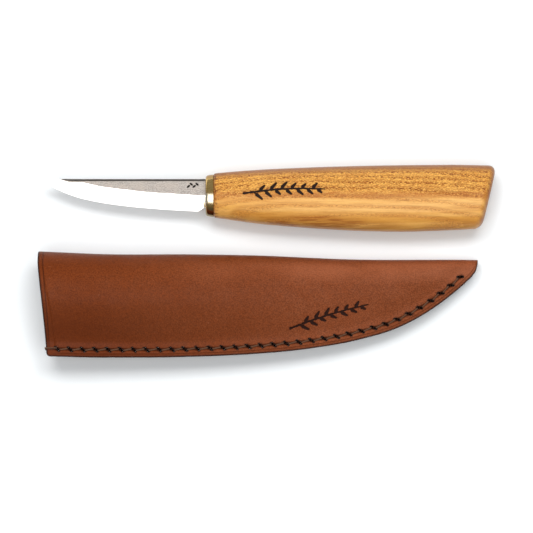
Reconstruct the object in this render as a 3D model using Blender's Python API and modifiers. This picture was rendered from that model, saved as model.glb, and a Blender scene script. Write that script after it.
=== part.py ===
"""A small woodcarving knife lying beside its own leather sheath.

The knife is a blade with a stick tang, a brass ferrule, and a wooden handle glued onto the tang.
The sheath is one folded piece of leather, saddle-stitched along its curved edge over a leather welt,
with a plastic liner inside that keeps the blade off the leather. The set lies on a surface at Z = 0.
+X runs along the knife from the blade's tip to the butt, +Y from its cutting edge to its spine.
The origin is below the middle of the whole set.
"""

import math

import bmesh
import bpy
import numpy as np
from mathutils import Vector

# Lengths are in millimetres, and become metres where the meshes are made.
MM = 0.001

# ---- knife: its frame starts in the middle of the ferrule's front face ----
BLADE_LENGTH = 68.7
BLADE_THICKNESS = 2.8
BEVEL_HEIGHT = 6.8
EDGE_THICKNESS = 0.1
SPINE_Y = 7.0
SPINE_CHAMFER = 0.6
HEEL_X = -3.2
TANG_LENGTH = 86.0
TANG_HEIGHTS = (9.0, 5.0)  # at the ferrule and at its end
TANG_THICKNESSES = (2.8, 2.2)

FERRULE_LENGTH = 3.4
FERRULE_HALF_HEIGHTS = (8.5, 8.9)  # at its front and its back
FERRULE_FLATNESS = 0.77  # its thickness over its height
FERRULE_ROUNDING = 1.1

HANDLE_HALF_THICKNESS = 10.0
HANDLE_END = 118.85  # the middle of the butt, which slants
HANDLE_OVAL_POWER = 2.25
BUTT_SLANT = math.tan(math.radians(13.2))
BUTT_TOP, BUTT_BOTTOM = 12.9, -14.2
SLANT_FROM = 70.0
BUTT_ROUNDING = 3.4
BORE_DEPTH = 90.0
BORE_HEIGHT = 11.0
BORE_THICKNESS = 5.0

# ---- sheath: its frame starts at the mouth's fold corner, on the surface ----
SHEATH_LENGTH = 183.4
LEATHER = 2.2
WELT = 2.4
WELT_WIDTH = 5.0
FLANGE_WIDTH = 5.6
FLANGE_HALF = LEATHER + WELT / 2
MIDDLE_AT_POINT = 4.6  # height of the middle plane, which slopes down from the mouth
MIDDLE_SLOPE = 0.06
FOLD_POWER = 2.3
SHOULDER_SHARE = 0.25

HOLE_COUNT = 34
HOLE_INSET = 3.3
FIRST_HOLE_X = 7.4
LAST_HOLE_X = 176.0
HOLE_LENGTH = 2.3
HOLE_WIDTH = 1.0
HOLE_LEAN = math.radians(-40)
HOLE_CUTTER_HEIGHT = 12.0
THREAD_RADIUS = 0.36
THREAD_SPREAD = 0.74  # how far each of the two threads lies from the middle of a hole
THREAD_END = 0.3  # how far from the middle plane a thread ends, inside a hole
MOUTH_X_AT_SEAM = 2.7
TRIM_HALF_HEIGHT = 40.0

LINER_FROM = 84.0
LINER_TO = 153.0
LINER_WALL = 1.4
SHEATHED_Y = -16.2  # where the knife's axis lies when it is put away
BLADE_ROOM = 0.55

# ---- where the knife and the sheath lie ----
KNIFE_PLACE = (-25.59, 27.375, HANDLE_HALF_THICKNESS)
SHEATH_PLACE = (KNIFE_PLACE[0] - 69.3, KNIFE_PLACE[1] - 23.4, 0.0)

GAP = 0.05  # between pieces that touch

COLOURS = {
    "steel": ((0.62, 0.60, 0.57, 1), 0.32, 1.0),
    "brass": ((0.72, 0.52, 0.24, 1), 0.28, 1.0),
    "wood": ((0.68, 0.38, 0.13, 1), 0.5, 0.0),
    "glue": ((0.75, 0.66, 0.42, 1), 0.4, 0.0),
    "leather": ((0.22, 0.062, 0.022, 1), 0.55, 0.0),
    "raw_leather": ((0.16, 0.07, 0.035, 1), 0.8, 0.0),
    "liner": ((0.02, 0.02, 0.02, 1), 0.45, 0.0),
    "thread": ((0.07, 0.045, 0.03, 1), 0.8, 0.0),
}


def mix(start, end, share):
    return start + (end - start) * share


def smoothstep(share):
    return share * share * (3 - 2 * share)


def curve_through(*points):
    """A function y(x) through the points: a cubic that doesn't overshoot between them."""
    xs, ys = (np.array(column, float) for column in zip(*points))
    steps = np.diff(xs)
    slopes = np.diff(ys) / steps
    bends = (slopes[:-1] * steps[1:] + slopes[1:] * steps[:-1]) / (steps[:-1] + steps[1:])
    tangents = np.concatenate([slopes[:1], bends, slopes[-1:]])
    tangents[1:-1][slopes[:-1] * slopes[1:] <= 0] = 0

    def value(x):
        i = int(np.clip(np.searchsorted(xs, x) - 1, 0, len(steps) - 1))
        t = min(max((x - xs[i]) / steps[i], 0), 1)
        lean = t * (1 - t) * mix(tangents[i], -tangents[i + 1], t)
        return float(mix(ys[i], ys[i + 1], smoothstep(t)) + steps[i] * lean)

    return value


# ---- helpers that make Blender data ----


def make_collection(name):
    collection = bpy.data.collections.new(name)
    bpy.context.scene.collection.children.link(collection)
    return collection


def make_material(name):
    colour, roughness, metallic = COLOURS[name]
    material = bpy.data.materials.new(name)
    material.use_nodes = True
    shader = material.node_tree.nodes["Principled BSDF"]
    shader.inputs["Base Color"].default_value = colour
    shader.inputs["Roughness"].default_value = roughness
    shader.inputs["Metallic"].default_value = metallic
    material.diffuse_color = colour
    return material


def make_empty(name, collection, place):
    empty = bpy.data.objects.new(name, None)
    empty.location = Vector(place) * MM
    collection.objects.link(empty)
    return empty


def add_piece(name, data, material, collection, parent):
    piece = bpy.data.objects.new(name, data)
    data.materials.append(make_material(material))
    collection.objects.link(piece)
    piece.parent = parent
    return piece


def add_cutter(name, mesh, collection, parent):
    cutter = bpy.data.objects.new(name, mesh)
    cutter.hide_render = True
    cutter.display_type = "WIRE"
    collection.objects.link(cutter)
    cutter.parent = parent
    return cutter


def add_boolean(piece, cutter, operation="DIFFERENCE"):
    modifier = piece.modifiers.new(operation.lower(), "BOOLEAN")
    modifier.operation = operation
    modifier.solver = "EXACT"
    modifier.object = cutter


def add_solidify(piece, thickness, offset):
    modifier = piece.modifiers.new("thickness", "SOLIDIFY")
    modifier.thickness = thickness * MM
    modifier.offset = offset
    modifier.use_even_offset = True


def finish_mesh(made, name, sharp_angle):
    bmesh.ops.recalc_face_normals(made, faces=made.faces)
    mesh = bpy.data.meshes.new(name)
    made.to_mesh(mesh)
    made.free()
    mesh.shade_smooth()
    mesh.set_sharp_from_angle(angle=math.radians(sharp_angle))
    return mesh


def skin(name, rows, closed, sharp_angle=35):
    """A surface through rows of points. Closed rows are rings, and get a cap at both ends."""
    made = bmesh.new()
    lines = [[made.verts.new(Vector(point) * MM) for point in row] for row in rows]
    count = len(lines[0])
    for line, following in zip(lines, lines[1:]):
        for i in range(count if closed else count - 1):
            j = (i + 1) % count
            made.faces.new((line[i], line[j], following[j], following[i]))
    if closed:
        made.faces.new(lines[0])
        made.faces.new(lines[-1])
    return finish_mesh(made, name, sharp_angle)


def box_mesh(name, size, middle):
    made = bmesh.new()
    bmesh.ops.create_cube(made, size=MM)
    bmesh.ops.scale(made, vec=size, verts=made.verts)
    bmesh.ops.translate(made, vec=Vector(middle) * MM, verts=made.verts)
    return finish_mesh(made, name, 30)


def prism_mesh(name, outline, half_height):
    """A flat outline in X and Y, made solid from -half_height to half_height."""
    curve = bpy.data.curves.new(name, "CURVE")
    curve.dimensions = "2D"
    curve.fill_mode = "BOTH"
    curve.extrude = half_height * MM
    spline = curve.splines.new("POLY")
    spline.points.add(len(outline) - 1)
    spline.use_cyclic_u = True
    for point, (x, y) in zip(spline.points, outline):
        point.co = (x * MM, y * MM, 0, 1)
    guide = bpy.data.objects.new(name, curve)
    bpy.context.scene.collection.objects.link(guide)
    shape = bpy.data.meshes.new_from_object(guide.evaluated_get(bpy.context.evaluated_depsgraph_get()))
    bpy.data.objects.remove(guide)
    made = bmesh.new()
    made.from_mesh(shape)
    bmesh.ops.remove_doubles(made, verts=made.verts, dist=0.001 * MM)
    return finish_mesh(made, name, 30)


def tube_curve(name, points, radius):
    curve = bpy.data.curves.new(name, "CURVE")
    curve.dimensions = "3D"
    curve.bevel_depth = radius * MM
    curve.bevel_resolution = 2
    curve.use_fill_caps = True
    spline = curve.splines.new("POLY")
    spline.points.add(len(points) - 1)
    for point, place in zip(spline.points, points):
        point.co = (*(Vector(place) * MM), 1)
    return curve


# ---- the blade and its tang ----

blade_edge = curve_through(
    (-BLADE_LENGTH, 6.5), (-66.4, 5.1), (-61.4, 2.35), (-55, -0.2), (-46, -2.45), (-36, -4.0),
    (-21, -5.5), (HEEL_X, -6.6), (0, -4.8),
)  # fmt: skip
blade_spine = curve_through((-BLADE_LENGTH, 6.7), (-62, 6.98), (-50, SPINE_Y), (0, SPINE_Y))


def both_faces(x, side):
    """A ring across X from the points (y, z) of its +Z side."""
    return [(x, y, z) for y, z in side] + [(x, y, -z) for y, z in reversed(side)]


def blade_ring(x):
    """Edge, top of the bevel, and the chamfer along the spine."""
    edge, spine = blade_edge(x), blade_spine(x)
    height = spine - edge
    thickness = min(BLADE_THICKNESS, EDGE_THICKNESS + BLADE_THICKNESS * height / BEVEL_HEIGHT)
    # Near the point, where the blade is low and thin, the chamfer shrinks and a sliver of flat stays.
    chamfer = min(SPINE_CHAMFER, 0.2 * height, 0.3 * thickness)
    least_flat = 0.6 * chamfer
    ground_from = min(edge, blade_edge(HEEL_X)) if x > HEEL_X else edge
    bevel_top = min(ground_from + BEVEL_HEIGHT, spine - chamfer - least_flat)
    half = thickness / 2
    flat = [(bevel_top, half), (spine - chamfer, half)]
    return both_faces(x, [(edge, EDGE_THICKNESS / 2), *flat, (spine, half - chamfer)])


def tang_ring(x, grow=0.0):
    share = min(max(x / TANG_LENGTH, 0), 1)
    height = mix(*TANG_HEIGHTS, share) / 2 + grow
    half = mix(*TANG_THICKNESSES, share) / 2 + grow
    corner = 0.15 * half
    flat = [(corner - height, half), (height - corner, half)]
    return both_faces(x, [(-height, half - corner), *flat, (height, half - corner)])


def make_blade(collection, knife):
    blade_stations = [-BLADE_LENGTH, -67.6, -66, -63.5, -61, -58, -55, -51, -46, -41, -36, -31]
    blade_stations += [-26, -21, -16, -11, -7, HEEL_X, -GAP]
    rings = [blade_ring(x) for x in blade_stations]
    rings += [tang_ring(x) for x in (0.0, 20.0, 43.0, 65.0, TANG_LENGTH)]
    add_piece("blade", skin("blade", rings, closed=True, sharp_angle=8), "steel", collection, knife)


# ---- the ferrule ----


def make_ferrule(collection, cutters, knife):
    made = bmesh.new()
    front, back = FERRULE_HALF_HEIGHTS
    bmesh.ops.create_cone(
        made, cap_ends=True, segments=48, radius1=front * MM, radius2=back * MM, depth=FERRULE_LENGTH * MM
    )
    for vertex in made.verts:
        x, y, z = vertex.co
        vertex.co = (z + FERRULE_LENGTH / 2 * MM, y, x * FERRULE_FLATNESS)
    ferrule = add_piece("ferrule", finish_mesh(made, "ferrule", 50), "brass", collection, knife)
    rounding = ferrule.modifiers.new("rounding", "BEVEL")
    rounding.width = FERRULE_ROUNDING * MM
    rounding.segments = 3
    rounding.limit_method = "ANGLE"
    slot_size = (FERRULE_LENGTH * 3, TANG_HEIGHTS[0] + 0.4, TANG_THICKNESSES[0] + 0.3)
    slot = add_cutter("ferrule_slot", box_mesh("ferrule_slot", slot_size, (0, 0, 0)), cutters, knife)
    add_boolean(ferrule, slot)


# ---- the handle ----

handle_top = curve_through(
    (0, 9.0), (4, 9.4), (11.6, 10.1), (24, 10.95), (49, 12.05), (65, 12.5), (88, 12.85), (102, 12.95),
    (125, 12.6),
)  # fmt: skip
handle_bottom = curve_through(
    (0, -8.8), (5, -9.35), (11.6, -10.35), (24, -11.95), (36.6, -13.05), (49, -13.95), (62, -14.65),
    (74, -15.0), (82, -15.1), (93, -14.85), (106, -14.3), (125, -13.2),
)  # fmt: skip
handle_half = curve_through(
    (3, 7.0), (12, 8.3), (22, 9.3), (34, HANDLE_HALF_THICKNESS), (86, HANDLE_HALF_THICKNESS), (105, 9.6),
    (125, 9.0),
)  # fmt: skip


def handle_ring(x, inset=0.0, count=32):
    """An oval ring whose upper side leans to +X, ever more towards the butt."""
    slant = BUTT_SLANT * smoothstep(min(max((x - SLANT_FROM) / (HANDLE_END - SLANT_FROM), 0), 1))
    top = handle_top(x + slant * BUTT_TOP) - inset
    bottom = handle_bottom(x + slant * BUTT_BOTTOM) + inset
    half = handle_half(x) - inset
    ring = []
    for i in range(count):
        turn = 2 * math.pi * i / count
        across, up = math.sin(turn), math.cos(turn)
        y = mix(bottom, top, (1 + math.copysign(abs(up) ** (2 / HANDLE_OVAL_POWER), up)) / 2)
        z = half * math.copysign(abs(across) ** (2 / HANDLE_OVAL_POWER), across)
        ring.append((x + slant * y, y, z))
    return ring


def make_handle(collection, cutters, knife):
    stations = [FERRULE_LENGTH + GAP, 7, 12, 17, 22, 28, 34, 44, 54, 64, 75, 86, 93, 99, 105, 110]
    rings = [handle_ring(x) for x in stations]
    for turn in (0, 25, 50, 70, 90):
        rounding = math.radians(turn)
        x = HANDLE_END - BUTT_ROUNDING * (1 - math.sin(rounding))
        rings.append(handle_ring(x, BUTT_ROUNDING * (1 - math.cos(rounding))))
    surface = skin("handle", rings, closed=True, sharp_angle=60)
    handle = add_piece("handle", surface, "wood", collection, knife)
    bore_size = (BORE_DEPTH + 10, BORE_HEIGHT, BORE_THICKNESS)
    bore = box_mesh("bore", bore_size, (BORE_DEPTH - bore_size[0] / 2, 0, 0))
    add_boolean(handle, add_cutter("bore", bore, cutters, knife))


def make_tang_adhesive(collection, cutters, knife):
    """The glue that fills the bore around the tang."""
    start, end = FERRULE_LENGTH + GAP, BORE_DEPTH - GAP
    size = (end - start, BORE_HEIGHT - 2 * GAP, BORE_THICKNESS - 2 * GAP)
    block = box_mesh("tang_adhesive", size, ((start + end) / 2, 0, 0))
    adhesive = add_piece("tang_adhesive", block, "glue", collection, knife)
    pocket = [tang_ring(x, grow=GAP) for x in (0.0, 20.0, 43.0, 65.0, TANG_LENGTH + GAP)]
    add_boolean(adhesive, add_cutter("tang_pocket", skin("tang_pocket", pocket, closed=True), cutters, knife))


# ---- the sheath's outline and its thickness ----

fold_line = curve_through(
    (0, 0.1), (10, -0.35), (25, -1.0), (63, -1.15), (88, -1.55), (134, -3.35), (145, -3.45), (171, -3.4),
    (190, -3.6),
)  # fmt: skip
seam_edge = curve_through(
    (0, -43.8), (25, -44.3), (45, -44.3), (63, -44.0), (88, -42.95), (113, -40.6), (134, -36.8),
    (151, -31.45), (163.8, -24.4), (172, -18.4), (178.4, -12.9), (181.4, -9.8), (182.8, -7.5),
    (SHEATH_LENGTH, -5.1),
)  # fmt: skip
# How far the sheath's back lies above the surface that it rests on, from the mouth to the point.
underside = curve_through((0, 2.4), (25, 1.0), (50, 0), (150, 0), (168, 0.9), (178, 1.6), (190, 1.6))
fold_depth = curve_through(
    (0, 16.5), (50, 16.0), (84, 14.0), (150, 8.0), (178, FLANGE_HALF), (190, FLANGE_HALF)
)
# The lower side of the liner's slot, from the liner's open end, which follows the blade's belly.
liner_low = curve_through((-1, -7.4), (25, -7.2), (40, -5.0), (52, -1.8), (60, 0.8), (68, 3.2))


def middle_height(x):
    return MIDDLE_AT_POINT + MIDDLE_SLOPE * (SHEATH_LENGTH - x)


def bulge(x):
    """Half of the sheath's thickness where it is thickest, at x."""
    return max(FLANGE_HALF, middle_height(x) - underside(x))


def seam_slope(x):
    return seam_edge(x + 0.5) - seam_edge(x - 0.5)


def inside_edge(x, inset):
    """The point that lies inset from the seam edge at x, and the seam's direction there."""
    slope = seam_slope(x)
    length = math.hypot(1, slope)
    return x - inset * slope / length, seam_edge(x) + inset / length, math.atan(slope)


def leather_row(x):
    """The leather's outside from the upper seam edge round the fold to the lower one, past the trim line."""
    fold = fold_line(x)
    centre = fold - fold_depth(x)
    flange = min(seam_edge(x) + FLANGE_WIDTH * math.hypot(1, seam_slope(x)), centre - 2)
    shoulder = mix(centre, flange, SHOULDER_SHARE)
    half = bulge(x)
    side = [(min(seam_edge(x), flange) - 3, FLANGE_HALF)]
    for share in (0, 0.2, 0.4, 0.6, 0.8, 1):
        side.append((mix(flange, shoulder, share), mix(FLANGE_HALF, half, smoothstep(share))))
    for turn in (0, 20, 38, 54, 68, 80):
        angle = math.radians(turn)
        y = mix(centre, fold, math.sin(angle) ** (2 / FOLD_POWER))
        side.append((y, half * math.cos(angle) ** (2 / FOLD_POWER)))
    middle = middle_height(x)
    upper = [(x, y, middle + z) for y, z in side]
    lower = [(x, y, middle - z) for y, z in reversed(side)]
    return upper + [(x, fold, middle)] + lower


def make_trim(cutters, sheath):
    """The outline that the sewn edge, the mouth and the point are cut to, open past the fold."""
    mouth = [(-0.5, 6), (-0.6, -3), (0.1, -11), (1.1, -20), (2.5, -37)]
    mouth_corner = [(2.9, -42.4), (3.3, -43.3), (4.2, -43.8)]
    stations = [8, 18, 32, 48, 63, 76, 88, 101, 113, 124, 134, 143, 151, 158]
    stations += [163.8, 167.9, 172, 175.2, 178.4, 181.4, 182.8]
    edge = [(x, seam_edge(x)) for x in stations]
    point = [(SHEATH_LENGTH, seam_edge(SHEATH_LENGTH)), (SHEATH_LENGTH, 6)]
    outline = mouth + mouth_corner + edge + point
    return add_cutter("trim", prism_mesh("trim", outline, TRIM_HALF_HEIGHT), cutters, sheath)


# ---- the seam ----


def seam_holes():
    """Where each stitch hole is, in millimetres, with the seam's direction there, evenly spaced."""
    path = [inside_edge(x, HOLE_INSET) for x in np.linspace(FIRST_HOLE_X - 3, LAST_HOLE_X + 6, 400)]
    xs, ys, angles = (np.array(column) for column in zip(*path))
    lengths = np.concatenate([[0], np.cumsum(np.hypot(np.diff(xs), np.diff(ys)))])
    first, last = np.interp((FIRST_HOLE_X, LAST_HOLE_X), xs, lengths)
    holes = []
    for distance in np.linspace(first, last, HOLE_COUNT):
        holes.append([float(np.interp(distance, lengths, values)) for values in (xs, ys, angles)])
    return holes


def make_hole_cutter(cutters, sheath):
    made = bmesh.new()
    for x, y, angle in seam_holes():
        middle = Vector((x, y, middle_height(x))) * MM
        verts = bmesh.ops.create_cube(made, size=MM)["verts"]
        bmesh.ops.scale(made, vec=(HOLE_LENGTH, HOLE_WIDTH, HOLE_CUTTER_HEIGHT), verts=verts)
        cosine, sine = math.cos(angle + HOLE_LEAN), math.sin(angle + HOLE_LEAN)
        for vertex in verts:
            px, py, pz = vertex.co
            vertex.co = middle + Vector((px * cosine - py * sine, px * sine + py * cosine, pz))
    return add_cutter("stitch_holes", finish_mesh(made, "stitch_holes", 30), cutters, sheath)


def thread_place(hole, side):
    """Where a thread passes through a hole. side is -1 for the hole's end towards the mouth, or else 1."""
    x, y, angle = hole
    return (
        x + side * THREAD_SPREAD * math.cos(angle + HOLE_LEAN),
        y + side * THREAD_SPREAD * math.sin(angle + HOLE_LEAN),
    )


def on_middle(place, height):
    return place[0], place[1], middle_height(place[0]) + height


def thread_points(first_run):
    """A thread that weaves through every hole. first_run is 1 if its first run is on top, or -1 below.

    It comes up at the far end of a hole and goes down at the near end of the next, so that the two
    threads never meet in a hole.
    """
    lift = FLANGE_HALF + THREAD_RADIUS + 2 * GAP
    holes = seam_holes()
    places = [thread_place(hole, first_run * (-1) ** i) for i, hole in enumerate(holes)]
    points = []
    if first_run > 0:
        # It starts inside the first hole, goes round the mouth's edge, and comes back below.
        tail = thread_place(holes[0], -first_run)
        beyond_mouth = MOUTH_X_AT_SEAM - THREAD_RADIUS - 3 * GAP
        points += [on_middle(tail, THREAD_END), on_middle(tail, lift)]
        points += [on_middle((beyond_mouth, tail[1]), lift), on_middle((beyond_mouth, places[0][1]), -lift)]
        points.append(on_middle(places[0], -lift))
    else:
        points.append(on_middle(places[0], -THREAD_END))
    run = first_run
    for place, following in zip(places, places[1:]):
        points += [on_middle(place, run * lift), on_middle(following, run * lift)]
        run = -run
    points.append(on_middle(places[-1], -run * THREAD_END))
    return points


# ---- the sheath's pieces ----


def make_sheath_leather(trim, holes, collection, sheath):
    stations = [-4, 3, 12, 24, 37, 50, 61, 72, 84, 100, 117, 130, 140, 150]
    stations += [157, 163, 168, 173, 178, 183, 188]
    rows = [leather_row(x) for x in stations]
    surface = skin("sheath_leather", rows, closed=False, sharp_angle=50)
    leather = add_piece("sheath_leather", surface, "leather", collection, sheath)
    add_solidify(leather, LEATHER, -1)
    add_boolean(leather, trim, "INTERSECT")
    add_boolean(leather, holes)


def make_sheath_welt(trim, holes, collection, sheath):
    stations = [-4, 10, 24, 40, 56, 72, 88, 102, 116, 126, 136, 144, 151, 158, 164, 169, 173.5, 177.5, 180]
    rows = []
    for x in stations:
        row = [inside_edge(x, inset)[:2] for inset in (WELT_WIDTH, -2)]
        rows.append([(px, py, middle_height(px)) for px, py in row])
    surface = skin("sheath_welt", rows, closed=False)
    welt = add_piece("sheath_welt", surface, "raw_leather", collection, sheath)
    add_solidify(welt, WELT - 2 * GAP, 0)
    add_boolean(welt, trim, "INTERSECT")
    add_boolean(welt, holes)


def stadium_ring(x, low, high, radius):
    """A section across X with a half circle at both ends."""
    ring = []
    for middle, first_turn in ((high - radius, 0), (low + radius, 180)):
        for turn in range(first_turn, first_turn + 181, 30):
            angle = math.radians(turn)
            ring.append((x, middle + radius * math.sin(angle), radius * math.cos(angle)))
    return ring


def make_sheath_liner(collection, cutters, sheath):
    """A flat plastic sleeve for the blade, open towards the mouth and closed at the point."""
    half_slot = BLADE_THICKNESS / 2 + BLADE_ROOM
    high = SPINE_Y + BLADE_ROOM
    length = LINER_TO - LINER_FROM

    def ring(x, wall):
        return stadium_ring(x, liner_low(x) - wall, high + wall, half_slot + wall)

    outer = [ring(x, LINER_WALL) for x in (0, 25, 40, 52, 60, length)]
    slot = [ring(x, 0) for x in (-1, 25, 40, 52, 60, length - LINER_WALL)]
    liner = add_piece("sheath_liner", skin("sheath_liner", outer, closed=True), "liner", collection, sheath)
    slot_cutter = add_cutter("liner_slot", skin("liner_slot", slot, closed=True), cutters, sheath)
    for obj in (liner, slot_cutter):
        obj.location = Vector((LINER_FROM, SHEATHED_Y, middle_height(LINER_FROM))) * MM
        obj.rotation_euler.y = math.atan(MIDDLE_SLOPE)
    add_boolean(liner, slot_cutter)


def make_seam_threads(collection, sheath):
    for name, first_run in (("seam_thread_a", 1), ("seam_thread_b", -1)):
        curve = tube_curve(name, thread_points(first_run), THREAD_RADIUS)
        add_piece(name, curve, "thread", collection, sheath)


def main():
    for obj in list(bpy.data.objects):
        bpy.data.objects.remove(obj)
    collection = make_collection("carving_knife")
    cutters = make_collection("cutters")

    knife = make_empty("knife", collection, KNIFE_PLACE)
    make_blade(collection, knife)
    make_ferrule(collection, cutters, knife)
    make_handle(collection, cutters, knife)
    make_tang_adhesive(collection, cutters, knife)

    sheath = make_empty("sheath", collection, SHEATH_PLACE)
    trim = make_trim(cutters, sheath)
    holes = make_hole_cutter(cutters, sheath)
    make_sheath_leather(trim, holes, collection, sheath)
    make_sheath_welt(trim, holes, collection, sheath)
    make_sheath_liner(collection, cutters, sheath)
    make_seam_threads(collection, sheath)


main()
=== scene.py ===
"""The looks of a small woodcarving knife and its leather sheath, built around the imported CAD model."""

import math

import bmesh
import bpy
import numpy as np
from mathutils import Matrix, Vector


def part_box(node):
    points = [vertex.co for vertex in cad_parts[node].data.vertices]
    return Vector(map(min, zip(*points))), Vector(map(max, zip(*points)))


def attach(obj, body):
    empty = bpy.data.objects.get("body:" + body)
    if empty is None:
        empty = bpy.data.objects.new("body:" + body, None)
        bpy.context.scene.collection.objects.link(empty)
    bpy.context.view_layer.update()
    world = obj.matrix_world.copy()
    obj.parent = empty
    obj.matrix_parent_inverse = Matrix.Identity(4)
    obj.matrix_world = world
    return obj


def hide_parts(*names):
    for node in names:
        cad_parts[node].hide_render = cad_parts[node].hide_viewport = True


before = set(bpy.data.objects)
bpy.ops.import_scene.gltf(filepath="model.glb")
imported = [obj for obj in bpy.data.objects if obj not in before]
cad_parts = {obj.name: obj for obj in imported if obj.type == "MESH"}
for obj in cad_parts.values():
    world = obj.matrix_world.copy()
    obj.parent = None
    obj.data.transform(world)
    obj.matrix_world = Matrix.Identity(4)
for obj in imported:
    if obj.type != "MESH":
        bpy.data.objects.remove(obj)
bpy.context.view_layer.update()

# Lengths are in millimetres, and become metres where the meshes are made.
MM = 0.001

# ---- where the frame says things are ----


def box_mm(node):
    low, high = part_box(node)
    return np.array(low) / MM, np.array(high) / MM


ferrule_low, ferrule_high = box_mm("ferrule")
blade_low, blade_high = box_mm("blade")
handle_low, handle_high = box_mm("handle")
leather_low, leather_high = box_mm("sheath_leather")

# The knife's frame starts in the middle of the ferrule's front face, the sheath's at the mouth's fold corner.
MOUTH_FOREMOST = -0.6
SEAM_LOWEST = -44.3
KNIFE = np.array([ferrule_low[0], (ferrule_low[1] + ferrule_high[1]) / 2, (blade_low[2] + blade_high[2]) / 2])
SHEATH = np.array([leather_low[0] - MOUTH_FOREMOST, leather_low[1] - SEAM_LOWEST, leather_low[2]])

BLADE_LENGTH = KNIFE[0] - blade_low[0]
HANDLE_HALF = (handle_high[2] - handle_low[2]) / 2
FERRULE_LENGTH = ferrule_high[0] - ferrule_low[0]


# ---- shapes shared by several pieces ----


def smoothstep(share):
    share = np.clip(share, 0, 1)
    return share * share * (3 - 2 * share)


def mix(start, end, share):
    return start + (end - start) * share


def curve_through(*points):
    """A function y(x) through the points: a cubic that doesn't overshoot between them."""
    xs, ys = (np.array(column, float) for column in zip(*points))
    steps = np.diff(xs)
    slopes = np.diff(ys) / steps
    bends = (slopes[:-1] * steps[1:] + slopes[1:] * steps[:-1]) / (steps[:-1] + steps[1:])
    tangents = np.concatenate([slopes[:1], bends, slopes[-1:]])
    tangents[1:-1][slopes[:-1] * slopes[1:] <= 0] = 0

    def value(x):
        i = np.clip(np.searchsorted(xs, x) - 1, 0, len(steps) - 1)
        t = np.clip((x - xs[i]) / steps[i], 0, 1)
        lean = t * (1 - t) * mix(tangents[i], -tangents[i + 1], t)
        return mix(ys[i], ys[i + 1], smoothstep(t)) + steps[i] * lean

    return value


def spaced(start, end, step):
    """Evenly spaced values from start to end, about step apart, without the end."""
    return np.linspace(start, end, max(2, int(round(abs(end - start) / step)) + 1))[:-1]


def add_object(name, data):
    placed = bpy.data.objects.new(name, data)
    bpy.context.scene.collection.objects.link(placed)
    return placed


def mesh_from(made, name):
    """A mesh from the bmesh, which is used up."""
    mesh = bpy.data.meshes.new(name)
    made.to_mesh(mesh)
    made.free()
    return mesh


def ring_mesh(name, rings, origin, sharp_angle=40):
    """A closed mesh through rings of the same number of points. rings is (rings, points, 3)."""
    count, size, _ = rings.shape
    points = rings.reshape(-1, 3) + origin
    i, j = np.meshgrid(np.arange(count - 1), np.arange(size), indexing="ij")
    following = (j + 1) % size
    corners = [i * size + j, i * size + following, (i + 1) * size + following, (i + 1) * size + j]
    faces = np.stack(corners, -1).reshape(-1, 4).tolist()
    faces += [list(range(size))[::-1], list(range((count - 1) * size, count * size))]
    mesh = bpy.data.meshes.new(name)
    mesh.from_pydata((points * MM).tolist(), [], faces)
    made = bmesh.new()
    made.from_mesh(mesh)
    bmesh.ops.recalc_face_normals(made, faces=made.faces)
    made.to_mesh(mesh)
    made.free()
    mesh.shade_smooth()
    mesh.set_sharp_from_angle(angle=math.radians(sharp_angle))
    return mesh


def add_piece(name, mesh, materials, body, node):
    piece = add_object(name, mesh)
    for material in materials:
        mesh.materials.append(material)
    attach(piece, body)
    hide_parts(node)
    return piece


def set_attribute(mesh, name, values):
    attribute = mesh.attributes.new(name, "FLOAT", "POINT")
    attribute.data.foreach_set("value", np.asarray(values, np.float32))


def cut_with(piece, cutter_mesh):
    """Cuts the mesh out of the piece for good, and leaves no cutter behind."""
    cutter = add_object("cutter", cutter_mesh)
    modifier = piece.modifiers.new("cut", "BOOLEAN")
    modifier.operation = "DIFFERENCE"
    modifier.solver = "EXACT"
    modifier.object = cutter
    graph = bpy.context.evaluated_depsgraph_get()
    result = bpy.data.meshes.new_from_object(
        piece.evaluated_get(graph), preserve_all_data_layers=True, depsgraph=graph
    )
    piece.modifiers.clear()
    piece.data = result
    bpy.data.objects.remove(cutter)


def box_cutter(low, high, origin):
    made = bmesh.new()
    bmesh.ops.create_cube(made, size=1)
    low, high = np.array(low) + origin, np.array(high) + origin
    for vertex in made.verts:
        vertex.co = Vector(mix(low, high, np.array(vertex.co) + 0.5) * MM)
    return mesh_from(made, "cutter")


# ---- ornament: a leafy sprig, the builder's own ----


def sprig(length, spread, pairs, bend):
    """Segments (x0, y0, x1, y1, half width) of a leafy sprig that grows along +X from the origin."""
    def stem(t):
        return t * length, bend * math.sin(math.pi * t) * spread

    shares = np.linspace(0, 1, 13)
    lines = [(*stem(a), *stem(b), mix(0.5, 0.32, a)) for a, b in zip(shares, shares[1:])]
    for i, t in enumerate(np.linspace(0.12, 0.9, pairs)):
        x, y = stem(t)
        reach = spread * mix(0.62, 0.42, t) * (0.85 + 0.15 * math.cos(2.4 * i))
        side = 1 if i % 2 else -1
        # Each leaf is a thin stalk, with a fuller part that starts a third of the way along.
        base, tip = np.array([x, y]), np.array([x + reach * 0.9, y + side * reach * 0.82])
        lines.append((*base, *tip, 0.3))
        lines.append((*mix(base, tip, 0.38), *mix(base, tip, 0.95), 0.74))
    return np.array(lines)


def placed_sprig(x, y, turn, **shape):
    """The sprig's lines, moved so that its middle is at x, y, and turned by degrees."""
    lines = sprig(**shape)
    cosine, sine = math.cos(math.radians(turn)), math.sin(math.radians(turn))
    moved = lines.copy()
    for first in (0, 2):
        across, up = lines[:, first] - shape["length"] / 2, lines[:, first + 1]
        moved[:, first] = x + across * cosine - up * sine
        moved[:, first + 1] = y + across * sine + up * cosine
    return moved


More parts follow.
